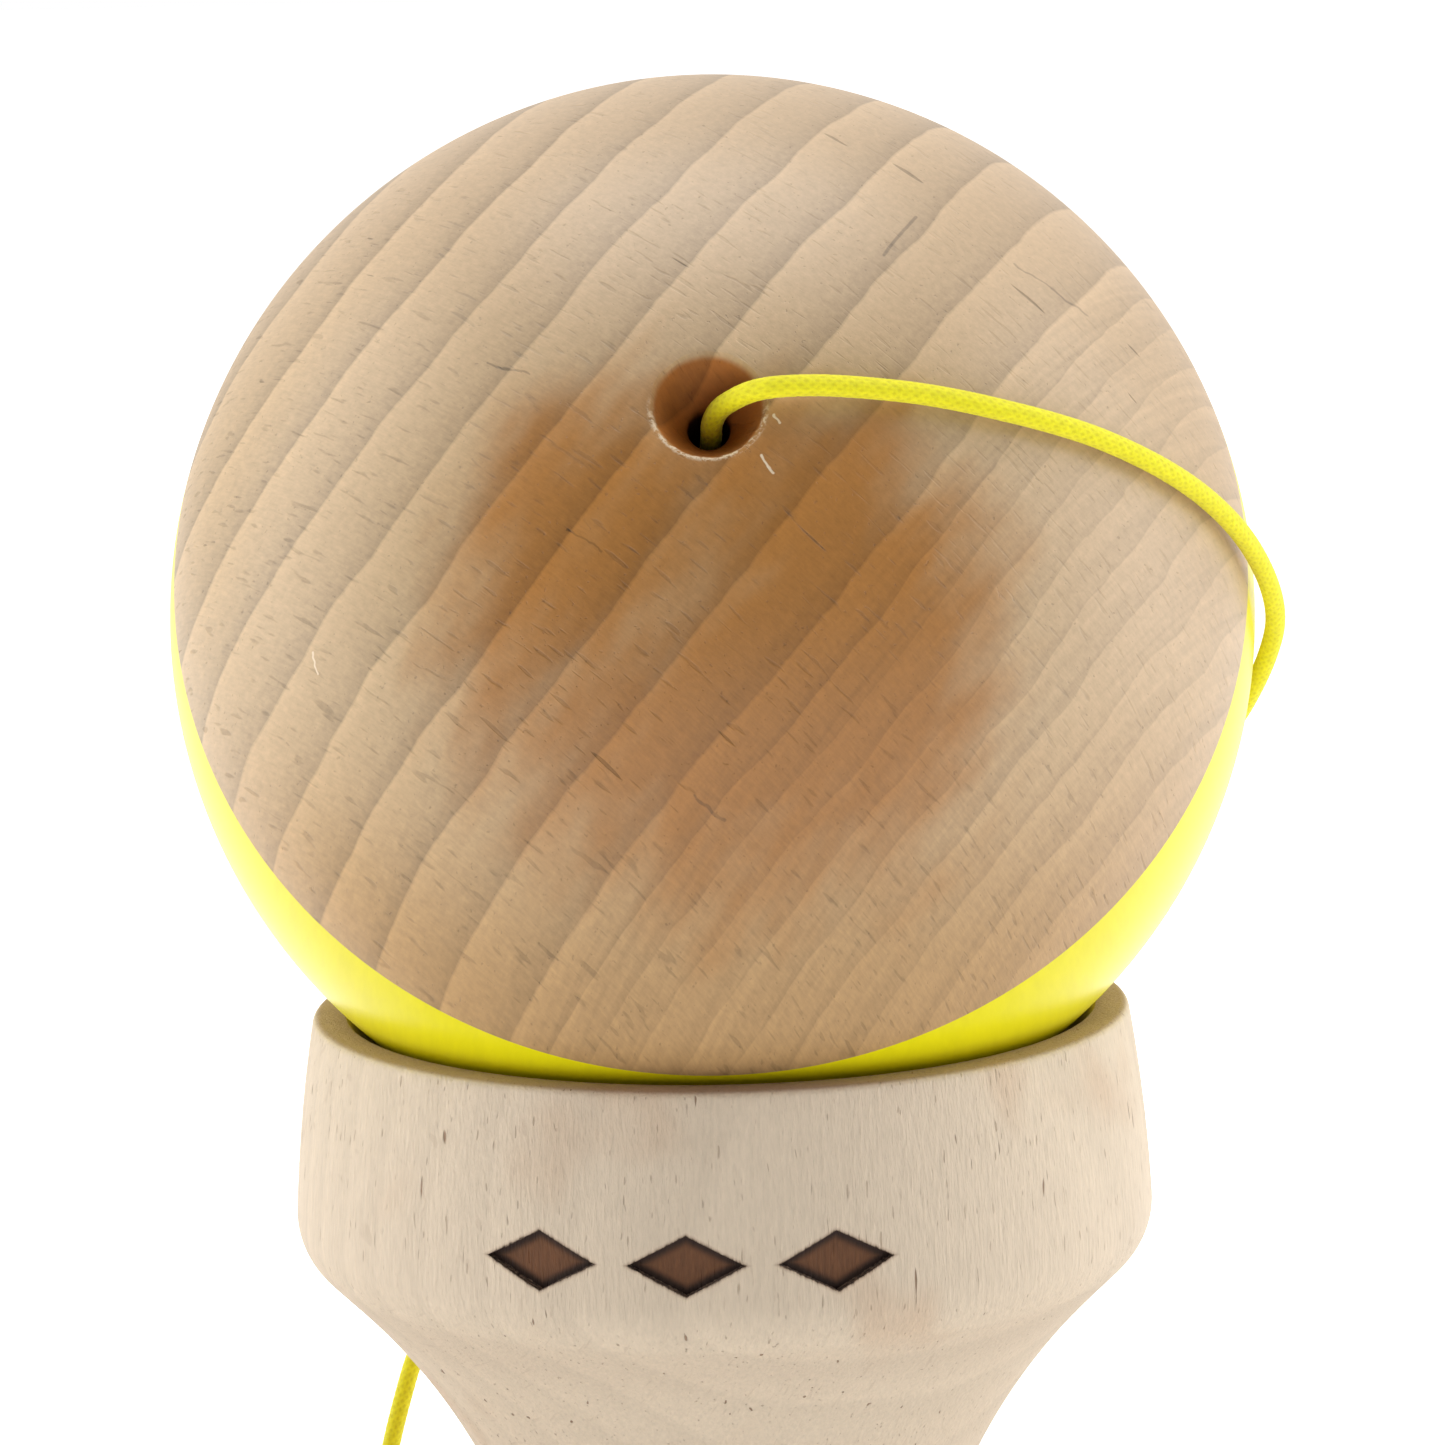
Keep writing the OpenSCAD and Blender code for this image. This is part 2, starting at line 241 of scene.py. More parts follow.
def cup_side(max_r, band_h, stem_r, **_):
    """Outer side of a cup, from its rim to its stem, as (radius, distance from the rim)."""
    lean = math.degrees(math.asin((band_h - RIM_EDGE) / BAND_ARC_R + sind(FOOT_LEAN)))
    centre = (max_r - BAND_ARC_R * cosd(FOOT_LEAN), band_h + BAND_ARC_R * sind(FOOT_LEAN))
    side = arc(centre, BAND_ARC_R, -lean, -FOOT_LEAN, 16)
    edge_r = RIM_EDGE / (1 - sind(lean))
    top = side[0]
    edge = arc((top[0] - edge_r * cosd(lean), top[1] + edge_r * sind(lean)), edge_r, -90, -lean, 5)
    foot = side[-1]
    under = arc((foot[0] - CORNER_R * cosd(FOOT_LEAN), foot[1] + CORNER_R * sind(FOOT_LEAN)),
                CORNER_R, -FOOT_LEAN, CHAMFER_SLOPE, 12)
    slope_end = (under[-1][0] - CHAMFER_L * sind(CHAMFER_SLOPE),
                 under[-1][1] + CHAMFER_L * cosd(CHAMFER_SLOPE))
    long_r = ((slope_end[0] - stem_r - SHORT_COVE_R * (1 - cosd(COVE_SLOPE)))
              / (cosd(COVE_SLOPE) - cosd(CHAMFER_SLOPE)))
    long = cove(slope_end, long_r, CHAMFER_SLOPE, COVE_SLOPE, 16)
    short = cove(long[-1], SHORT_COVE_R, COVE_SLOPE, 0, 8)
    return edge + side[1:] + under[1:] + long + short[1:]


def cove(point, radius, a0, a1, steps):
    centre = (point[0] + radius * cosd(a0), point[1] + radius * sind(a0))
    return arc(centre, radius, 180 + a0, 180 + a1, steps)


def dish(mouth_r, depth, steps=26):
    """Hollow of a cup from its middle to its mouth, as (radius, distance from the rim)."""
    radius = (mouth_r ** 2 + depth ** 2) / (2 * depth)
    reach = math.degrees(math.asin(mouth_r / radius))
    hollow = [(radius * sind(reach * i / steps), depth - radius + radius * cosd(reach * i / steps))
              for i in range(steps + 1)]
    hollow[0] = (0, depth)
    lip = 0.25
    return hollow[:-1] + [(mouth_r - 0.05, lip), (mouth_r + lip * 0.6, 0.03), (mouth_r + lip * 1.6, 0)]


def flipped(outline, top):
    return [(r, top - h) for r, h in outline]


def sarado_outline():
    small = dish(SMALL_CUP["mouth_r"], SMALL_CUP["dish"]) + cup_side(**SMALL_CUP)
    big = dish(BIG_CUP["mouth_r"], BIG_CUP["dish"]) + cup_side(**BIG_CUP)
    low, high = small[-1], flipped(big, SARADO_L)[-1]
    waist = [(low[0], low[1] + (high[1] - low[1]) * i / 12) for i in range(1, 12)]
    return small + waist + flipped(big, SARADO_L)[::-1]


def seat_radius(s):
    start = KEN_L - SPIKE_REACH - SMALL_CUP["stem_r"]
    return (SEAT_D - SEAT_TAPER * (s - start) / (2 * SMALL_CUP["stem_r"])) / 2


def ken_outline():
    base = cup_side(**BASE_CUP)
    neck_end = base[-1][1]
    sarado_s = KEN_L - SPIKE_REACH
    seat_start, seat_end = sarado_s - SMALL_CUP["stem_r"], sarado_s + SMALL_CUP["stem_r"]
    grip_end = seat_start - GRIP_GAP
    grip_full = neck_end + GRIP_WIDEST * (grip_end - neck_end)
    swell = [(NECK_D / 2 + (GRIP_D - NECK_D) / 4 * (1 - cosd(180 * i / 24)),
              neck_end + (grip_full - neck_end) * i / 24) for i in range(1, 25)]
    grip = [(GRIP_D / 2, grip_full + (grip_end - GRIP_SHOULDER - grip_full) * i / 8) for i in range(1, 9)]
    seat = [(seat_radius(grip_end + (seat_end - grip_end) * i / 10),
             grip_end + (seat_end - grip_end) * i / 10) for i in range(11)]
    spike_l = KEN_L - TIP_BEVEL_L - seat_end
    root_r = seat_radius(seat_end)
    spike = [(root_r * (1 - i / 24) + SPIKE_TIP_R * i / 24 + SPIKE_BELLY * sind(180 * i / 24),
              seat_end + spike_l * i / 24) for i in range(1, 25)]
    tip = [(2.6, KEN_L - 0.5), (2.3, KEN_L - 0.15), (1.8, KEN_L - 0.02), (0, KEN_L)]
    return dish(BASE_CUP["mouth_r"], BASE_CUP["dish"]) + base + swell + grip + seat + spike + tip


# ---------------------------------------------------------------- node helpers
def colour(code):
    """Linear colour from a hex code."""
    parts = [int(code[i:i + 2], 16) / 255 for i in (1, 3, 5)]
    return tuple(x / 12.92 if x <= 0.04045 else ((x + 0.055) / 1.055) ** 2.4 for x in parts) + (1,)


class Graph:
    """Short calls for wiring one material's nodes."""

    def __init__(self, name, **finish):
        self.material = bpy.data.materials.new(name)
        self.material.use_nodes = True
        self.tree = self.material.node_tree
        self.tree.nodes.clear()
        self.shader = self.add("ShaderNodeBsdfPrincipled")
        output = self.add("ShaderNodeOutputMaterial")
        self.tree.links.new(self.shader.outputs[0], output.inputs["Surface"])
        for socket, value in finish.items():
            self.shader.inputs[socket.replace("_", " ")].default_value = value

    def add(self, kind, **settings):
        made = self.tree.nodes.new(kind)
        for key, value in settings.items():
            setattr(made, key, value)
        return made

    def feed(self, socket, value):
        if isinstance(value, bpy.types.NodeSocket):
            self.tree.links.new(value, socket)
        else:
            socket.default_value = value

    def math(self, operation, *values):
        made = self.add("ShaderNodeMath", operation=operation)
        for socket, value in zip(made.inputs, values):
            self.feed(socket, value)
        return made.outputs[0]

    def total(self, *values):
        found = values[0]
        for value in values[1:]:
            found = self.math("ADD", found, value)
        return found

    def times(self, *values):
        found = values[0]
        for value in values[1:]:
            found = self.math("MULTIPLY", found, value)
        return found

    def vector(self, operation, *values):
        made = self.add("ShaderNodeVectorMath", operation=operation)
        for socket, value in zip(made.inputs, values):
            self.feed(socket, value)
        return made.outputs["Value" if operation in ("DOT_PRODUCT", "LENGTH") else "Vector"]

    def place(self, centre):
        """Object coordinates from centre, in mm."""
        spot = self.add("ShaderNodeTexCoord").outputs["Object"]
        offset = self.vector("SUBTRACT", spot, tuple(x * MM for x in centre))
        return self.vector("MULTIPLY", offset, (1 / MM,) * 3)

    def normal(self):
        return self.add("ShaderNodeTexCoord").outputs["Normal"]

    def join(self, *parts):
        made = self.add("ShaderNodeCombineXYZ")
        for socket, value in zip(made.inputs, parts):
            self.feed(socket, value)
        return made.outputs[0]

    def split(self, vector):
        made = self.add("ShaderNodeSeparateXYZ")
        self.feed(made.inputs[0], vector)
        return made.outputs[0], made.outputs[1], made.outputs[2]

    def noise(self, where, stretch, detail=2.0, rough=0.5, seed=0.0):
        made = self.add("ShaderNodeTexNoise")
        spread = self.vector("MULTIPLY_ADD", where, stretch, (seed, seed * 1.7, -seed))
        self.feed(made.inputs["Vector"], spread)
        self.feed(made.inputs["Scale"], 1.0)
        self.feed(made.inputs["Detail"], detail)
        self.feed(made.inputs["Roughness"], rough)
        return made.outputs[0]

    def fade(self, value, start, end, low=0.0, high=1.0):
        """Smooth step: low at start, high at end."""
        made = self.add("ShaderNodeMapRange", interpolation_type="SMOOTHSTEP")
        for socket, given in zip(made.inputs, (value, start, end, low, high)):
            self.feed(socket, given)
        return made.outputs[0]

    def ramp(self, value, stops):
        """Grey ramp from (position, brightness) stops."""
        made = self.add("ShaderNodeValToRGB")
        band = made.color_ramp
        while len(band.elements) < len(stops):
            band.elements.new(0.5)
        for element, (position, grey) in zip(band.elements, stops):
            element.position = position
            element.color = (grey, grey, grey, 1)
        self.feed(made.inputs[0], value)
        return self.math("ADD", made.outputs[0], 0.0)

    def mix(self, amount, a, b):
        made = self.add("ShaderNodeMix", data_type="RGBA")
        self.feed(made.inputs[0], amount)
        self.feed(made.inputs[6], a)
        self.feed(made.inputs[7], b)
        return made.outputs[2]

    def shade(self, tint, amount):
        """Colour times a brightness."""
        made = self.add("ShaderNodeVectorMath", operation="SCALE")
        self.feed(made.inputs[0], tint[:3] if isinstance(tint, tuple) else tint)
        self.feed(made.inputs["Scale"], amount)
        return made.outputs[0]

    def bump(self, height, strength, depth):
        """Bump from a height of 0 to 1 that stands for depth mm."""
        made = self.add("ShaderNodeBump")
        self.feed(made.inputs["Strength"], strength)
        self.feed(made.inputs["Distance"], depth * MM)
        self.feed(made.inputs["Height"], height)
        self.feed(self.shader.inputs["Normal"], made.outputs[0])

    def paint(self, tint, roughness=None):
        self.feed(self.shader.inputs["Base Color"], tint)
        if roughness is not None:
            self.feed(self.shader.inputs["Roughness"], roughness)
        return self.material


# ---------------------------------------------------------------- materials
RING_NORMAL = Vector((0.760, -0.308, -0.571)).normalized()
RING_PITCH = 4.03
RING_START = 1.3       # puts the edges of the rings where they are
RING_BOW = 0.0036      # how the rings curve round the tree's heart
RING_BOW_FROM = 5
FINE_RINGS_FROM = 11.2
# Short dark cracks and pale slivers on the end grain: from, to and half width
CRACKS = [((11.2, -14.7), (13.0, -14.7), 0.10), ((0.3, 16.4), (0.9, 13.0), 0.12),
          ((-10.7, -4.6), (-8.4, -4.0), 0.09), ((5.4, 18.4), (9.6, 19.4), 0.10),
          ((-1.5, -9.2), (0.6, -9.0), 0.08)]
SLIVERS = [((3.8, -0.4), (4.8, -0.8), 0.10), ((2.9, 1.7), (3.4, 1.5), 0.08),
           ((-9.7, -20.3), (-8.8, -20.9), 0.07)]
LIP_DOWN = (0.649, -0.76)  # downhill at the string hole, across and along the rings
WARM_DIR = Vector((0.02, -0.99, 0.05)).normalized()  # middle of the amber patch
TORN_WOOD = "#e6d2b4"


def grain_axes(g, spot, across, fibre):
    """Coordinates across the rings, along them and along the fibres."""
    along = Vector(fibre).cross(Vector(across))
    return [g.vector("DOT_PRODUCT", spot, tuple(axis)) for axis in (across, along, fibre)]


def growth_rings(g, a, b, grain):
    """Brightness of the growth rings: light after each edge, darkening to the next, finer further out."""
    bow = g.total(b, RING_BOW_FROM)
    drift = g.times(g.total(g.noise(grain, (0.06, 0.05, 0.02), seed=3), -0.5), 1.5)
    wander = g.times(g.total(g.noise(grain, (0.25, 0.2, 0.05), 3, seed=9), -0.5), 0.9)
    rings = g.total(a, g.times(bow, bow, RING_BOW), drift, wander)
    finer = g.times(g.math("MAXIMUM", g.total(rings, -FINE_RINGS_FROM), 0.0), 0.30)
    phase = g.total(g.times(g.total(rings, RING_START), 1 / RING_PITCH), finer)
    ring = g.ramp(g.math("FRACT", phase),
                  [(0, 0.3), (0.035, 1), (0.25, 0.74), (0.7, 0.47), (0.9, 0.18), (1, 0)])
    each = g.noise(g.join(g.math("FLOOR", phase), 0.0, 0.0), (0.73, 1, 1), seed=5)
    strength = g.fade(rings, 9, 15, 0.42, 0.17)
    fine = g.times(g.total(g.noise(grain, (3.4, 0.05, 0.06), 2, 0.5, 15), -0.5),
                   g.fade(rings, 8, 13, 0.06, 0.30))
    return g.total(g.times(g.total(ring, -0.5), strength, g.total(each, 0.5)), fine)


def scratch(g, a, b, start, end, width):
    """Mask of a short line across the end grain, tapering off at its ends."""
    run = Vector(end) - Vector(start)
    from_a, from_b = g.total(a, -start[0]), g.total(b, -start[1])
    along = g.total(g.times(from_a, run.x / run.length_squared),
                    g.times(from_b, run.y / run.length_squared))
    held = g.math("MINIMUM", g.math("MAXIMUM", along, 0.0), 1.0)
    off_a, off_b = g.total(from_a, g.times(held, -run.x)), g.total(from_b, g.times(held, -run.y))
    return g.fade(g.vector("LENGTH", g.join(off_a, off_b, 0.0)), width, width * 0.4)


def hole_lip(g, a, b):
    """Torn pale edge round the lower side of the string hole's mouth."""
    out = g.vector("LENGTH", g.join(a, b, 0.0))
    rough = g.noise(g.join(a, b, 0.0), (2.6, 2.6, 1), 3, 0.7, 25)
    edge = g.total(out, g.times(g.total(rough, -0.5), 0.7))
    band = g.times(g.fade(edge, 2.72, 2.92), g.fade(edge, 3.16, 2.98))
    downhill = g.math("DIVIDE", g.total(g.times(a, LIP_DOWN[0]), g.times(b, LIP_DOWN[1])), out)
    return g.times(band, g.fade(downhill, -0.25, 0.45), g.fade(rough, 0.40, 0.56))


def ball_tint(g, spot, grain):
    """Amber in the middle of the front and duller towards the sides, the top and the bottom."""
    blotch = g.noise(grain, (0.17, 0.06, 0.05), 3, 0.6, 61)
    facing = g.vector("DOT_PRODUCT", g.vector("NORMALIZE", spot), tuple(WARM_DIR))
    patchy = g.total(facing, g.times(g.total(blotch, -0.5), 0.36))
    x, _, z = g.split(spot)
    outer = g.mix(g.fade(x, 6, 26, 0, 0.5), colour("#bca07a"), colour("#c4a98a"))
    outer = g.mix(g.fade(z, 8, 28, 0, 0.5), outer, colour("#bfa68a"))
    outer = g.mix(g.fade(z, 0, -17, 0, 0.62), outer, colour("#a9804c"))
    return g.mix(g.fade(patchy, 0.81, 0.985), outer, colour("#a47036"))


def ball_wood():
    """Lacquered beech, with end grain at the string hole."""
    g = Graph("ball_wood", Roughness=0.42, Specular_IOR_Level=0.5)
    spot = g.place(TAMA_C)
    a, b, f = grain_axes(g, spot, RING_NORMAL, HOLE_DIR)
    grain = g.join(a, b, f)
    streaks = g.times(g.total(g.noise(grain, (3.0, 2.6, 0.16), 3, 0.7, 21), -0.5), 0.22)
    mottle = g.times(g.total(g.noise(grain, (2.2, 3.0, 0.6), 3, 0.7, 27), -0.5), 0.34)
    lower = g.fade(b, 14, -12, 0.35, 1.0)
    hatch = g.times(g.total(g.noise(grain, (1.4, 8.5, 0.7), 1.5, 0.5, 33), -0.5), lower, -0.28)
    rays = g.fade(g.noise(grain, (0.6, 3.6, 0.5), 1, 0.4, 31), 0.36, 0.27)
    pores = g.fade(g.noise(grain, (4.6, 5.2, 0.35), 1, 0.4, 41), 0.30, 0.22)
    cracks = g.fade(g.noise(grain, (0.24, 2.2, 0.4), 1, 0.3, 51), 0.215, 0.18)
    dark_lines = g.total(g.times(rays, lower, 0.20), g.times(pores, 0.20), g.times(cracks, 0.40))
    tone = g.total(1.0, growth_rings(g, a, b, grain), streaks, mottle, hatch, g.times(dark_lines, -1))
    depth = g.math("SUBTRACT", TAMA_R, g.vector("LENGTH", spot))
    inside = g.fade(depth, 0.12, 0.7)
    tint = g.mix(g.times(inside, 0.9), ball_tint(g, spot, grain), colour("#a4601c"))
    # Painted shade: from the funnel's floor down the bore the wood turns near black, standing in for the
    # shadow deep in the hole.
    tint = g.mix(g.fade(depth, 2.9, 4.2), tint, colour("#3a1a08"))
    bent = g.total(b, g.times(g.total(g.noise(grain, (0.9, 0.9, 0.1), 2, 0.6, 91), -0.5), 0.7))
    front = g.fade(f, 0, 2)
    for start, end, width in CRACKS:
        tone = g.total(tone, g.times(scratch(g, a, bent, start, end, width), front, -0.34))
    tint = g.mix(hole_lip(g, a, b), g.shade(tint, tone), colour(TORN_WOOD))
    for start, end, width in SLIVERS:
        tint = g.mix(g.times(scratch(g, a, bent, start, end, width), front), tint, colour(TORN_WOOD))
    height = g.total(g.times(streaks, 1.5), mottle, g.times(hatch, 0.8), g.times(pores, -0.5),
                     g.times(rays, -0.5), g.times(cracks, -1.2))
    g.bump(height, 0.55, 0.05)
    return g.paint(tint, g.total(0.40, g.times(dark_lines, 0.5), g.times(inside, 0.15)))


def yellow_paint():
    """Glossy paint with a trace of the grain under it."""
    g = Graph("yellow_paint", Roughness=0.32, Coat_Weight=0.06, Coat_Roughness=0.1, Specular_IOR_Level=0.22)
    spot = g.place(TAMA_C)
    a, b, f = grain_axes(g, spot, RING_NORMAL, HOLE_DIR)
    grain = g.join(a, b, f)
    under = g.noise(grain, (1.6, 1.4, 0.1), 3, 0.6, 71)
    peel = g.noise(spot, (0.9, 0.9, 0.9), 2, 0.5, 73)
    g.bump(g.total(g.times(under, 0.5), peel), 0.12, 0.03)
    tone = g.fade(under, 0.2, 0.8, 0.96, 1.03)
    return g.paint(g.shade(colour("#e6dc0e"), tone))


def bored_wood():
    """Bare wood inside the tama."""
    g = Graph("bored_wood", Roughness=0.75, Specular_IOR_Level=0.3)
    spot = g.place(TAMA_C)
    a, b, f = grain_axes(g, spot, RING_NORMAL, HOLE_DIR)
    streaks = g.noise(g.join(a, b, f), (2.5, 2.5, 0.2), 3, 0.6, 81)
    chatter = g.math("SINE", g.times(f, 9))
    g.bump(g.total(streaks, g.times(chatter, 0.3)), 0.5, 0.08)
    return g.paint(g.shade(colour("#b98d5f"), g.fade(streaks, 0.2, 0.8, 0.8, 1.15)))


def pale_wood(name, centre, fibre, across, marks=False):
    """Bare sanded beech with fine fibres, pores and small cracks along the fibre."""
    g = Graph(name, Roughness=0.7, Specular_IOR_Level=0.35, Sheen_Weight=0.07, Sheen_Roughness=0.5)
    spot = g.place(centre)
    a, b, f = grain_axes(g, spot, across, fibre)
    grain = g.join(a, b, f)
    drift = g.times(g.total(g.noise(grain, (0.05, 0.04, 0.02), seed=4), -0.5), 4)
    rings = g.total(a, drift, g.times(b, b, 0.010))
    cycle = g.math("FRACT", g.times(rings, 1 / 3.1))
    ring = g.ramp(cycle, [(0, 0.4), (0.08, 1), (0.5, 0.6), (0.93, 0.1), (1, 0.4)])
    ring_tone = g.times(g.total(ring, -0.5), 0.07)
    fibres = g.noise(grain, (3.8, 3.8, 0.22), 4, 0.75, 13)
    hairs = g.noise(grain, (5.5, 5.5, 0.9), 2.5, 0.65, 17)
    pores = g.fade(g.noise(grain, (5, 5, 0.7), 1, 0.4, 23), 0.30, 0.22)
    cracks = g.fade(g.noise(grain, (2.6, 2.6, 0.15), 1.5, 0.4, 29), 0.265, 0.215)
    rays = g.fade(g.noise(grain, (0.5, 5.0, 0.8), 1, 0.4, 37), 0.33, 0.25)
    smudge = g.fade(g.noise(spot, (0.11, 0.11, 0.09), 2, 0.5, 43), 0.60, 0.78)
    tone = g.total(1.0, ring_tone, g.times(g.total(fibres, -0.5), 0.28), g.times(g.total(hairs, -0.5), 0.22))
    end_grain = g.math("ABSOLUTE", g.vector("DOT_PRODUCT", g.normal(), tuple(fibre)))
    tint = g.mix(g.fade(end_grain, 0.62, 1.0, 0, 0.9), colour("#dccab3"), colour("#aa8f7a"))
    tint = g.mix(g.times(smudge, 0.30), tint, colour("#bf9570"))
    marked = g.total(g.times(pores, 0.35), g.times(cracks, 0.75), g.times(rays, 0.12))
    tint = g.mix(marked, g.shade(tint, tone), colour("#866042"))
    rough = g.total(0.68, g.times(pores, 0.2))
    height = g.total(g.times(fibres, 0.7), g.times(hairs, 1.3), g.times(pores, -0.8), g.times(cracks, -1.5))
    g.bump(height, 0.75, 0.09)
    if marks:
        tint = burnt(g, spot, tint, hairs)
    return g.paint(tint, rough)


def burnt(g, spot, tint, hairs):
    """Burnt lozenges: char at the edge, brown inside and a thin scorched halo."""
    x, y, z = g.split(spot)
    azimuth = g.times(g.math("ARCTAN2", x, g.times(y, -1)), math.degrees(1))
    steps = g.times(g.total(azimuth, -MARK_MIDDLE), 1 / MARK_PITCH)
    near = g.total(steps, g.times(g.math("ROUND", steps), -1))
    off = g.math("ABSOLUTE", g.times(near, math.radians(MARK_PITCH) * BIG_CUP["max_r"]))
    rise = g.math("ABSOLUTE", g.total(z, MARK_DROP - SARADO_L))
    reach = g.total(g.times(off, 2 / MARK_W), g.times(rise, 2 / MARK_H))
    reach = g.total(reach, g.times(g.total(hairs, -0.5), 0.16))
    one_of_them = g.fade(g.math("ABSOLUTE", steps), 1.55, 1.45)
    low_enough = g.fade(rise, MARK_H, MARK_H * 0.8)
    halo = g.times(g.fade(reach, 1.16, 0.98), one_of_them, low_enough)
    char = g.times(g.fade(reach, 1.06, 0.97), one_of_them, low_enough)
    inside = g.mix(g.fade(reach, 0.9, 0.55), colour("#2c1608"),
                   g.shade(colour("#6b4428"), g.total(hairs, 0.5)))
    tint = g.mix(g.times(halo, 0.55), tint, colour("#8d6340"))
    return g.mix(char, tint, inside)


def bead_wood():
    g = Graph("bead_wood", Roughness=0.5)
    spot = g.place(TAMA_C)
    streaks = g.noise(spot, (2.5, 0.8, 2.5), 3, 0.6, 91)
    g.bump(streaks, 0.4, 0.05)
    return g.paint(g.shade(colour("#c08a55"), g.fade(streaks, 0.2, 0.8, 0.8, 1.15)))


def braid_cord():
    """Bright nylon braid: fine threads that follow the strands, softer and greener in the grooves, where the
    darker green is painted shade.
    """
    g = Graph("braid_cord", Roughness=0.6, Sheen_Weight=0.35, Sheen_Roughness=0.4, Specular_IOR_Level=0.35,
              Subsurface_Weight=0.15, Subsurface_Scale=0.0006)
    g.shader.inputs["Sheen Tint"].default_value = colour("#fff7a0")
    g.shader.inputs["Subsurface Radius"].default_value = (1.0, 0.9, 0.2)
    uv = g.add("ShaderNodeUVMap", uv_map="braid").outputs[0]
    u, v, _ = g.split(uv)
    threads = g.math("SINE", g.times(g.total(g.times(u, BRAID_TURN), g.times(v, 2 * math.pi * STRANDS)), 5))
    fuzz = g.noise(g.join(u, g.times(v, 3.4), 0.0), (2.2, 3.0, 1), 3, 0.7, 7)
    groove = g.add("ShaderNodeAttribute", attribute_name="groove").outputs["Fac"]
    g.bump(g.total(g.times(threads, 0.3), g.times(fuzz, 1.8)), 0.6, 0.05)
    # Painted shade: the grooves between the strands are tinted darker and greener.
    tint = g.mix(g.fade(groove, 0.2, 0.9), colour("#f9f11a"), colour("#ebe010"))
    return g.paint(g.shade(tint, g.fade(fuzz, 0.25, 0.75, 0.90, 1.08)))


# ---------------------------------------------------------------- string
STRANDS = 8        # strands that run each way round the braid
BRAID_PITCH = 4.6  # length in which a strand goes once round
BRAID_TURN = 2 * math.pi * STRANDS / BRAID_PITCH
STRAND_RISE = 0.022
STRING_STEP = 0.1  # length of one ring of the string's mesh
STRING_SIDES = 32
STAND_OFF = 0.15   # gap between the string and the tama it lies on
LAY_R = TAMA_R + STRING_D / 2 + STAND_OFF
COIL_C = Vector((2, 44, 0))
COIL_IN_R = 6.05
COIL_OUT_R = 7.15
COIL_TURNS = 2.5
COIL_STEPS = 16         # points in a turn
WIND_IN = (262, 348)    # degrees round the coil between which it moves to its inner radius,
WIND_OUT = (745, 895)   # back to its outer one,
CLIMB = (690, 775)      # up onto its own turns,
SETTLE = (860, 900)     # and a little down again
CLIMB_H = 1.12
LIE_Z = 0.6             # height of the string's middle where it lies on the floor


def on_tama(az, el, r):
    return TAMA_C + r * Vector((sind(az) * cosd(el), -cosd(az) * cosd(el), sind(el)))


def round_sarado(az, r, z):
    return Vector((SARADO_X + r * sind(az), -r * cosd(az), z))


ROUTE_IN_TAMA = [on_tama(0, HOLE_TILT, r) for r in (KNOT_TOP + 0.1, 12, 18, 22.5)]
ROUTE_ON_TAMA = [
    on_tama(0.3, HOLE_TILT, 25.6), on_tama(0.45, 28.8, 27), on_tama(1.3, 29.2, 28.15),
    on_tama(2.85, 29.2, 29.3), on_tama(4.65, 29.15, 30.25), on_tama(6.6, 29.05, 30.8),
    on_tama(8.9, 29, 31), on_tama(13.1, 29, 30.85)]
ROUTE_ON_TAMA += [on_tama(az, el, LAY_R) for az, el in (
    (21.4, 28.15), (26.8, 27.1), (32, 25.8), (38.6, 23.95), (45, 21.8), (54, 18), (62, 14))]
ROUTE_ON_TAMA += [
    on_tama(70, 9.2, LAY_R + 0.1), on_tama(78, 3.6, LAY_R + 0.3),
    on_tama(84, -0.8, LAY_R + 0.4), on_tama(89, -5, LAY_R + 0.2)]
ROUTE_ON_TAMA += [on_tama(az, el, LAY_R) for az, el in (
    (95, -10), (99.4, -13.3), (104, -16.5), (109.4, -20.1), (115, -23.5), (121.3, -26.85), (128, -30),
    (134.8, -32.9), (142, -35.5), (149.3, -37.65), (157, -39.5), (164.4, -41), (172, -42))]
ROUTE_DOWN_BACK = [
    round_sarado(184, 23.4, 74.7), round_sarado(190, 23.8, 72.6), round_sarado(196, 24.2, 69.6),
    round_sarado(202, 24.6, 66), round_sarado(207, 24.8, 62)]
ROUTE_DOWN_BACK += [Vector(p) for p in (
    (4.4, 22.2, 58), (2.1, 22.3, 54), (0.2, 22.3, 50.6), (-1.2, 22.3, 47.6), (-2.1, 22.3, 44.8),
    (-2.9, 22.4, 41.8), (-4.1, 22.8, 36), (-5.2, 23.6, 28), (-6, 24.6, 20), (-6.5, 25.6, 13),
    (-6.7, 26.8, 7.5), (-6.6, 28.2, 4), (-6.4, 30.2, 1.6), (-6.1, 32.6, 0.7), (-5.7, 35.5, 0.6),
    (-5.4, 38.6, 0.6))]
ROUTE_KEN_SIDE = [Vector(p) for p in (
    (18, -4.9, 34.4), (18, 0, 34.4), (18, 7, 34.4), (18, 12, 34.4), (18, 14.3, 34.2),
    (18, 15.9, 32.8), (18, 16.6, 30.4), (18, 16.8, 26), (18, 17, 21.5), (18, 18.2, 18),
    (18, 20.6, 15), (18, 22.4, 12), (18, 22.9, 8.5), (17.9, 23.1, 5), (17.4, 24, 2.4),
    (16.4, 26, 0.9), (14.6, 29, 0.6), (11.8, 33.8, 0.6), (9.9, 37.4, 0.6), (9.3, 39.2, 0.6))]


def eased(value, start, end):
    t = min(max((value - start) / (end - start), 0), 1)
    return t * t * (3 - 2 * t)


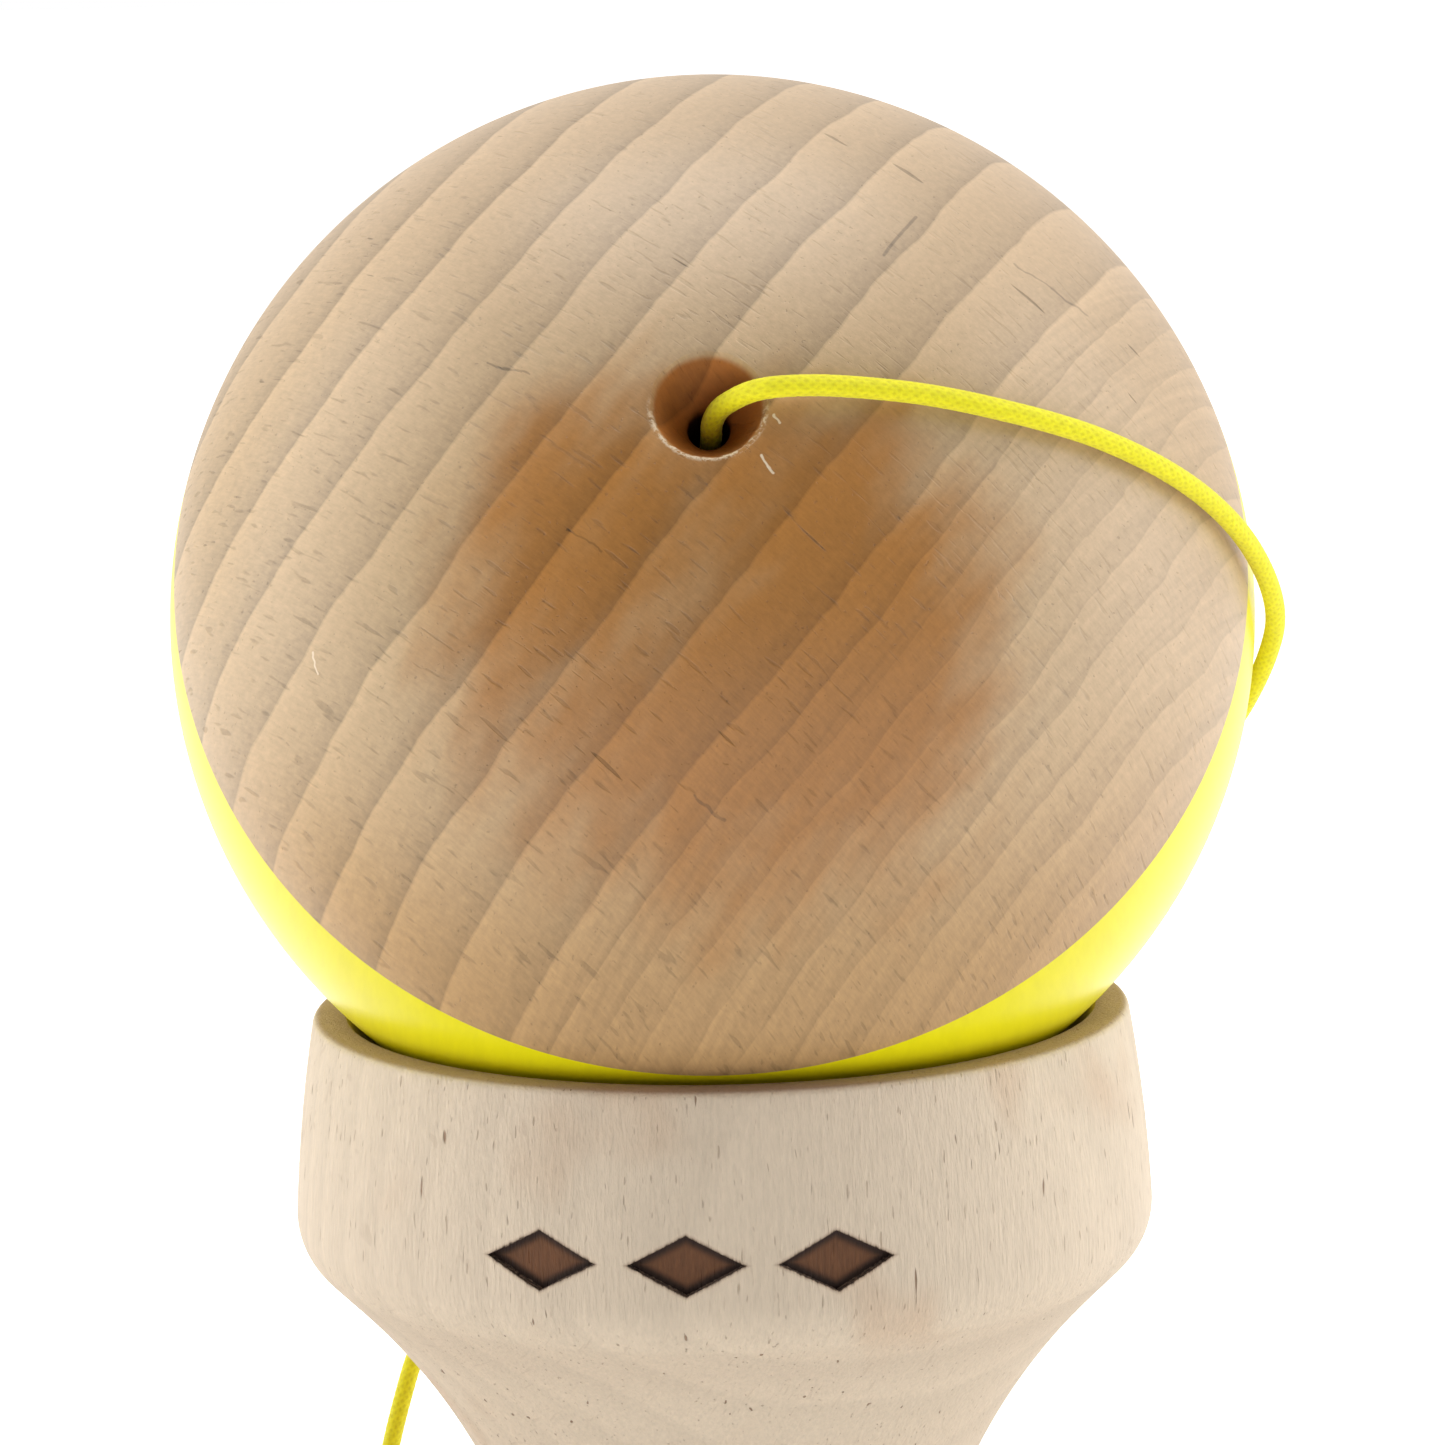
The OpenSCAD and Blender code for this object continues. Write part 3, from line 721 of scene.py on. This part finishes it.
def coil_route():
    """Two turns side by side on the floor, then half a turn over them and out at the right."""
    points = []
    for step in range(1, int(COIL_TURNS * COIL_STEPS) + 1):
        angle = step * 360 / COIL_STEPS
        inwards = eased(angle, *WIND_IN) - eased(angle, *WIND_OUT)
        r = COIL_OUT_R - (COIL_OUT_R - COIL_IN_R) * inwards
        z = LIE_Z + CLIMB_H * (eased(angle, *CLIMB) - 0.25 * eased(angle, *SETTLE))
        points.append(COIL_C + Vector((-r * cosd(angle), r * sind(angle), z)))
    return points


def smooth_path(points, step):
    """Centripetal curve through the points, as an array of points a step apart."""
    ends = [points[0] * 2 - points[1], *points, points[-1] * 2 - points[-2]]
    p = np.array([tuple(q) for q in ends], float)
    dense = []
    for i in range(1, len(p) - 2):
        knots = [0.0]
        for j in range(3):
            knots.append(knots[-1] + math.sqrt(np.linalg.norm(p[i + j] - p[i + j - 1])))
        t = np.linspace(knots[1], knots[2], 60, endpoint=False)[:, None]
        a = [between(p[i + j - 1], p[i + j], knots[j], knots[j + 1], t) for j in range(3)]
        b = [between(a[j], a[j + 1], knots[j], knots[j + 2], t) for j in range(2)]
        dense.append(between(b[0], b[1], knots[1], knots[2], t))
    dense = np.vstack(dense + [p[-2:-1]])
    run = np.concatenate([[0], np.cumsum(np.linalg.norm(np.diff(dense, axis=0), axis=1))])
    marks = np.linspace(0, run[-1], int(run[-1] / step) + 1)
    return np.stack([np.interp(marks, run, dense[:, k]) for k in range(3)], axis=1)


def between(a, b, t0, t1, t):
    return (t1 - t) / (t1 - t0) * a + (t - t0) / (t1 - t0) * b


def turn_free_frames(path):
    """Tangent and two sides at each point, turned no more than the path turns."""
    tangent = np.gradient(path, axis=0)
    tangent /= np.linalg.norm(tangent, axis=1)[:, None]
    side = np.zeros_like(path)
    last = np.array([0.3, 0.2, 0.9])
    for i, t in enumerate(tangent):
        last = last - (last @ t) * t
        last /= np.linalg.norm(last)
        side[i] = last
    return tangent, side, np.cross(tangent, side)


def braid_height(run, angle):
    """Height from 0 in the grooves to 1 on the strands, for lengths and angles round the braid."""
    one = STRANDS * angle + BRAID_TURN * run
    other = STRANDS * angle - BRAID_TURN * run
    over = 0.14 * np.sin(one) * np.sin(other)
    return np.maximum(np.cos(one / 2) ** 2 * (0.86 + over), np.cos(other / 2) ** 2 * (0.86 - over))


def braid(name, path, start_run=0.0, diameter=STRING_D, sides=STRING_SIDES):
    """Closed braided tube along a path of points in mm; start_run keeps the braid in step."""
    _, side, third = turn_free_frames(path)
    run = start_run + np.arange(len(path)) * STRING_STEP
    angle = 2 * math.pi * np.arange(sides) / sides
    height = braid_height(run[:, None], angle[None, :])
    radius = diameter / 2 - STRAND_RISE + 1.5 * STRAND_RISE * height
    round_it = np.cos(angle)[None, :, None] * side[:, None] + np.sin(angle)[None, :, None] * third[:, None]
    rings = path[:, None] + radius[:, :, None] * round_it
    points = (rings.reshape(-1, 3) * MM).tolist()
    faces = []
    for i in range(len(path) - 1):
        low = i * sides
        faces += [(low + k, low + (k + 1) % sides, low + sides + (k + 1) % sides, low + sides + k)
                  for k in range(sides)]
    faces += [tuple(range(sides - 1, -1, -1)), tuple(range((len(path) - 1) * sides, len(path) * sides))]
    mesh = bpy.data.meshes.new(name)
    mesh.from_pydata(points, [], faces)
    add_braid_data(mesh, run, sides, height)
    piece = bpy.data.objects.new(name, mesh)
    bpy.context.scene.collection.objects.link(piece)
    for polygon in mesh.polygons:
        polygon.use_smooth = len(polygon.vertices) == 4
    mesh.materials.append(CORD_MATERIAL)
    return piece


def add_braid_data(mesh, run, sides, height):
    """UVs of length in mm and share of a turn, and how deep each point lies between the strands."""
    groove = mesh.attributes.new("groove", "FLOAT", "POINT")
    groove.data.foreach_set("value", (1 - height).astype(np.float32).ravel())
    layer = mesh.uv_layers.new(name="braid")
    corners = np.zeros(len(mesh.loops), np.int32)
    mesh.loops.foreach_get("vertex_index", corners)
    ring, k = corners // sides, corners % sides
    quads = (len(run) - 1) * sides
    k[:quads * 4] = np.where((np.arange(quads * 4) % 4 % 3 > 0) & (k[:quads * 4] == 0), sides, k[:quads * 4])
    layer.data.foreach_set("uv", np.stack([run[ring], k / sides], axis=1).astype(np.float32).ravel())


def overhand_knot(name, centre, axis, size, run):
    """Tight overhand knot: its strand enters along axis and its short tail sticks out behind."""
    turn = Vector((0, 0, 1)).rotation_difference(Vector(axis))
    points = []
    for i in range(33):
        t = math.radians(-55 + 350 * i / 32)
        wave = Vector((math.sin(t) + 2 * math.sin(2 * t), math.cos(t) - 2 * math.cos(2 * t),
                       -math.sin(3 * t)))
        points.append(Vector(centre) + turn @ (wave * size))
    path = smooth_path(points, STRING_STEP)
    return braid(name, path, run, diameter=STRING_D * 0.8, sides=20)


def path_split(path, test):
    """Index of the first point that passes the test."""
    return next(i for i, p in enumerate(path) if test(p))


OUT_OF_BORE_R = 26.2   # the string leaves the tama's bore at this distance from its centre
BEHIND_CUP_Y = 20      # and starts down behind the big cup once it is behind this
BEHIND_CUP_Z = 76      # and below this


def string_parts():
    """The whole string as one path, cut into pieces that each follow their own bodies.

    Each name has the piece's place along the string, in steps, and its points."""
    route = ROUTE_IN_TAMA + ROUTE_ON_TAMA + ROUTE_DOWN_BACK + coil_route() + ROUTE_KEN_SIDE[::-1]
    path = smooth_path(route, STRING_STEP)
    out = path_split(path, lambda p: (Vector(p) - TAMA_C).length > OUT_OF_BORE_R)
    back = path_split(path, lambda p: p[1] > BEHIND_CUP_Y and p[2] < BEHIND_CUP_Z)
    leave = len(path) - 1 - path_split(path[::-1], lambda p: p[1] >= COIL_C.y)
    enter = leave + path_split(path[leave:], lambda p: p[1] < BIG_CUP["stem_r"])
    return {
        "string_in_tama": (0, path[:out + 1]),
        "string_over_tama": (out, path[out:back + 1]),
        "string_down_back": (back, path[back:leave + 1]),
        "string_to_ken": (leave, path[leave:enter + 1]),
        "string_in_ken": (enter, path[enter:]),
    }


def make_string():
    parts = string_parts()
    pieces = {name: braid(name, line, start * STRING_STEP) for name, (start, line) in parts.items()}
    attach(pieces["string_in_tama"], "bead")
    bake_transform(pieces["string_over_tama"])
    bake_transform(pieces["string_down_back"])
    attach(pieces["string_to_ken"], "sarado")
    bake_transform(pieces["string_in_ken"])
    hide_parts("string_tama_side")
    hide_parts("string_tama_side", "string_coil")
    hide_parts("string_ken_side")
    for name in ("string_over_tama", "string_down_back", "string_to_ken"):
        line = parts[name][1]
        if name == "string_to_ken":
            line = line[::-1]  # its exit is the sarado's string hole


CORD_MATERIAL = braid_cord()
make_string()


def make_knots():
    knot_size = 0.42  # scale of the knot's curve
    sunk = 1.25       # from the face it bears on to the knot's middle
    low = TAMA_C + HOLE_DIR * (KNOT_TOP - sunk)
    tama_knot = overhand_knot("tama_knot_tied", low, HOLE_DIR, knot_size, 0)
    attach(tama_knot, "bead")
    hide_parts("tama_knot")
    spot = Vector((SARADO_X, -KNOT_SEAT - sunk, KEN_Z))
    ken_knot = overhand_knot("ken_knot_tied", spot, (0, 1, 0), knot_size, 0)
    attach(ken_knot, "ken")
    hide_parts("ken_knot")


make_knots()


# ---------------------------------------------------------------- tama
PAINT_AXIS = Vector((-0.011, -0.857, 0.514)).normalized()
PAINT_EDGE = 7.2  # distance of the paint's edge from the tama's centre, along that axis


def along_hole():
    turn = Vector((0, 0, 1)).rotation_difference(HOLE_DIR)
    return Matrix.Translation(TAMA_C) @ turn.to_matrix().to_4x4()


def tama_outline():
    """Bore, funnel, ball, spike hole and back to the bore."""
    lip_h = sphere_join(FUNNEL_D / 2)
    floor_h = lip_h - FUNNEL_DEPTH
    bore_r = STRING_HOLE_D / 2
    bore = [(bore_r, SPIKE_FLOOR + (floor_h - SPIKE_FLOOR) * i / 12) for i in range(12)]
    flare = [i / 18 for i in range(18)]
    bulge, lip_w = 0.12, 0.15
    funnel = [(bore_r + (FUNNEL_D / 2 - bore_r) * u + bulge * sind(180 * u), floor_h + FUNNEL_DEPTH * u)
              for u in flare]
    lip_r = FUNNEL_D / 2 + lip_w
    funnel += [(FUNNEL_D / 2 + 0.03, lip_h - 0.02), (lip_r, sphere_join(lip_r))]
    first = math.degrees(math.asin(lip_r / TAMA_R))
    last = 180 - math.degrees(math.asin((SPIKE_HOLE_D / 2 + SPIKE_BEVEL) / TAMA_R))
    angles = [first + (last - first) * i / 170 for i in range(1, 171)]
    ball = [(TAMA_R * sind(angle), TAMA_R * cosd(angle)) for angle in angles]
    mouth = -sphere_join(SPIKE_HOLE_D / 2)
    bevel = [(SPIKE_HOLE_D / 2 + 0.12, mouth + 0.62), (SPIKE_HOLE_D / 2, mouth + 1.0)]
    wall = [(SPIKE_HOLE_D / 2, mouth + 1 + (SPIKE_FLOOR - 0.4 - mouth - 1) * i / 20) for i in range(1, 21)]
    floor = [(SPIKE_HOLE_D / 2 - 0.12, SPIKE_FLOOR - 0.12), (SPIKE_HOLE_D / 2 - 0.4, SPIKE_FLOOR),
             (5.5, SPIKE_FLOOR)]
    return bore + funnel + ball + bevel + wall + floor, len(bore)


def make_tama():
    outline, funnel_start = tama_outline()

    def torn(k, angle, r, h):
        """Slightly ragged lip and a funnel that isn't quite round."""
        share = max(0, 1 - abs(k - (funnel_start + 17)) / 5)
        ragged = noise.noise(Vector((math.cos(angle) * 3.1, math.sin(angle) * 3.1, k * 0.35)))
        fine = noise.noise(Vector((math.cos(angle) * 9, math.sin(angle) * 9, k * 0.8)))
        return r + share * (0.06 * ragged + 0.035 * fine), h

    tama = lathe("tama_ball", outline, 256, along_hole(), closed=True, wobble=torn)
    form = bmesh.new()
    form.from_mesh(tama.data)
    edge = (TAMA_C + PAINT_AXIS * PAINT_EDGE) * MM
    bmesh.ops.bisect_plane(form, geom=[*form.verts, *form.edges, *form.faces], plane_co=edge,
                           plane_no=PAINT_AXIS)
    for face in form.faces:
        middle = face.calc_center_median() / MM - TAMA_C
        out = middle.dot(HOLE_DIR)
        bored = (middle.length < TAMA_R - 0.35 and (middle - HOLE_DIR * out).length > 2
                 and out < SPIKE_FLOOR + 0.5)
        face.material_index = 2 if bored else (0 if middle.dot(PAINT_AXIS) > PAINT_EDGE else 1)
    form.to_mesh(tama.data)
    form.free()
    for material in (ball_wood(), yellow_paint(), bored_wood()):
        tama.data.materials.append(material)
    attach(tama, "tama")
    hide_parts("tama")


def make_bead():
    edge = 1.2
    half = BEAD_D / 2
    bore_r = STRING_HOLE_D / 2
    side = (arc((half - edge, KNOT_TOP + edge), edge, -90, 0, 8)
            + arc((half - edge, BEAD_TOP - edge), edge, 0, 90, 8))
    outline = [(bore_r, KNOT_TOP + 0.15), (bore_r + 0.15, KNOT_TOP)] + side + [
        (bore_r + 0.15, BEAD_TOP), (bore_r, BEAD_TOP - 0.15)]
    bead = lathe("string_bead", outline, 96, along_hole(), closed=True)
    bead.data.materials.append(bead_wood())
    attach(bead, "bead")
    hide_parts("bead")


# ---------------------------------------------------------------- sarado and ken
def lozenge_cutter(name, azimuth):
    """Block with a lozenge outline whose inner face follows the band's round."""
    outline = [(-1, 0), (0, -1), (1, 0), (0, 1)]
    edge = []
    for (x0, z0), (x1, z1) in zip(outline, outline[1:] + outline[:1]):
        edge += [(x0 + (x1 - x0) * i / 8, z0 + (z1 - z0) * i / 8) for i in range(8)]
    points, faces = [], []
    for radius, rings in ((MARK_FLOOR_R, (0, 0.35, 0.7, 1)), (MARK_FLOOR_R + 3, (1, 0.7, 0.35, 0))):
        for share in rings:
            for x, z in (edge if share else [(0, 0)]):
                around = azimuth + math.degrees(x * share * MARK_W / 2 / BIG_CUP["max_r"])
                points.append(round_sarado(around, radius, SARADO_L - MARK_DROP + z * share * MARK_H / 2))
    count = len(edge)
    starts = [1 + count * ring for ring in range(6)]
    for i in range(count):
        j = (i + 1) % count
        faces += [(0, starts[0] + i, starts[0] + j), (starts[5] + i, starts[5] + j, len(points) - 1)]
        faces += [(low + i, low + j, high + j, high + i) for low, high in zip(starts, starts[1:])]
    return mesh_object(name, points, faces)


def make_sarado():
    place = Matrix.Translation((SARADO_X, 0, 0))
    sarado = lathe("sarado_turned", sarado_outline(), 256, place)
    stem = BIG_CUP["stem_r"]
    sarado_s = KEN_L - SPIKE_REACH
    past = 1  # how far the seat's cutter runs past the stem
    start, end = sarado_s - stem - past, sarado_s + stem + past
    cut(sarado, rod("seat_cutter", seat_radius(start) + SEAT_SLIP, seat_radius(end) + SEAT_SLIP,
                    (SARADO_X - stem - past, 0, KEN_Z), (SARADO_X + stem + past, 0, KEN_Z), 96))
    cut(sarado, rod("hole_cutter", STRING_HOLE_D / 2, STRING_HOLE_D / 2,
                    (SARADO_X, 4, KEN_Z), (SARADO_X, stem + 2, KEN_Z)))
    for i in (-1, 0, 1):
        cut(sarado, lozenge_cutter("mark_cutter", MARK_MIDDLE + i * MARK_PITCH))
    tidy_mesh(sarado)
    sarado.data.materials.clear()
    sarado.data.materials.append(pale_wood(
        "sarado_wood", (SARADO_X, 0, 0), (0, 0, 1), Vector((0.5, -0.86, 0)).normalized(), marks=True))
    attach(sarado, "sarado")
    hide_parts("sarado")


def make_ken():
    lay_down = Matrix.Translation((BASE_X, 0, KEN_Z)) @ Matrix.Rotation(math.radians(90), 4, "Y")
    ken = lathe("ken_turned", ken_outline(), 192, lay_down)
    outside = 12  # beyond the ken's surface, where the cutters start
    cut(ken, rod("cross_cutter", STRING_HOLE_D / 2, STRING_HOLE_D / 2,
                 (SARADO_X, -outside, KEN_Z), (SARADO_X, outside, KEN_Z)))
    cut(ken, rod("pocket_cutter", KNOT_POCKET_D / 2, KNOT_POCKET_D / 2,
                 (SARADO_X, -outside, KEN_Z), (SARADO_X, -KNOT_SEAT, KEN_Z)))
    tidy_mesh(ken)
    ken.data.materials.clear()
    ken.data.materials.append(pale_wood(
        "ken_wood", (SARADO_X, 0, KEN_Z), (1, 0, 0), Vector((0, 0.42, 0.91)).normalized()))
    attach(ken, "ken")
    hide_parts("ken")


make_tama()
make_bead()
make_sarado()
make_ken()


# ---------------------------------------------------------------- floor, light and finish
FLOOR_DIM = 60      # the floor is plain pale grey out to here
FLOOR_BRIGHT = 175  # and blends into the white sweep by here
FLOOR_GLOW = 0.75   # strength of the sweep's own light
SURROUND_FROM_TO = (-0.9, 0.35)   # directions in depth between which the surround brightens
SURROUND_STRENGTH = (0.08, 0.75)  # its strength in front and behind


def make_floor():
    g = Graph("floor_white", Roughness=0.9, Specular_IOR_Level=0.1)
    spot = g.place((SARADO_X, 0, 0))
    away = g.vector("LENGTH", spot)
    paper = g.noise(spot, (0.4, 0.4, 0.4), 3, 0.6, 5)
    glow = g.fade(away, FLOOR_DIM, FLOOR_BRIGHT, 0.0, 1.0)
    g.shader.inputs["Emission Strength"].default_value = FLOOR_GLOW
    g.feed(g.shader.inputs["Emission Color"], g.mix(glow, (0, 0, 0, 1), (1, 1, 1, 1)))
    g.paint(g.shade(colour("#e6e6e5"), g.fade(paper, 0.2, 0.8, 0.99, 1.0)))
    rings = [(radius, 0) for radius in (0, 400, 2000, 8000, 40000)]
    floor = lathe("studio_floor", rings, 96, Matrix.Identity(4))
    floor.data.materials.append(g.material)


def softbox(name, place, aim, width, height, power):
    light = bpy.data.lights.new(name, "AREA")
    light.shape = "RECTANGLE"
    light.size, light.size_y = width, height
    light.energy = power
    lamp = bpy.data.objects.new(name, light)
    lamp.location = place
    lamp.rotation_euler = (Vector(aim) - Vector(place)).to_track_quat("-Z", "Y").to_euler()
    lamp.visible_camera = False
    bpy.context.scene.collection.objects.link(lamp)


def make_lights():
    aim = TAMA_C * MM
    softbox("softbox_left", (-0.75, 0.08, 0.35), aim, 0.6, 0.9, 3.6)
    softbox("softbox_right", (0.8, 0.08, 0.35), aim, 0.6, 0.9, 3.6)
    softbox("softbox_top", (0.02, 0.10, 0.95), aim, 0.8, 0.6, 4.8)


def make_surround():
    """White to the camera; as light it is dim in front and bright behind."""
    world = bpy.data.worlds.new("studio")
    world.use_nodes = True
    tree = world.node_tree
    back = tree.nodes["Background"]
    back.inputs["Color"].default_value = (1, 1, 1, 1)
    back.inputs["Strength"].default_value = 1.0
    lit = tree.nodes.new("ShaderNodeBackground")
    lit.inputs["Color"].default_value = (1, 1, 1, 1)
    coord = tree.nodes.new("ShaderNodeTexCoord")
    apart = tree.nodes.new("ShaderNodeSeparateXYZ")
    rise = tree.nodes.new("ShaderNodeMapRange")
    rise.interpolation_type = "SMOOTHSTEP"
    for socket, value in zip(list(rise.inputs)[1:5], (*SURROUND_FROM_TO, *SURROUND_STRENGTH)):
        socket.default_value = value
    ray = tree.nodes.new("ShaderNodeLightPath")
    pick = tree.nodes.new("ShaderNodeMixShader")
    tree.links.new(coord.outputs["Generated"], apart.inputs[0])
    tree.links.new(apart.outputs[1], rise.inputs[0])
    tree.links.new(rise.outputs[0], lit.inputs["Strength"])
    tree.links.new(ray.outputs["Is Camera Ray"], pick.inputs[0])
    tree.links.new(lit.outputs[0], pick.inputs[1])
    tree.links.new(back.outputs[0], pick.inputs[2])
    tree.links.new(pick.outputs[0], tree.nodes["World Output"].inputs[0])
    bpy.context.scene.world = world
    bpy.context.scene.view_settings.view_transform = "Standard"


make_floor()
make_lights()
make_surround()
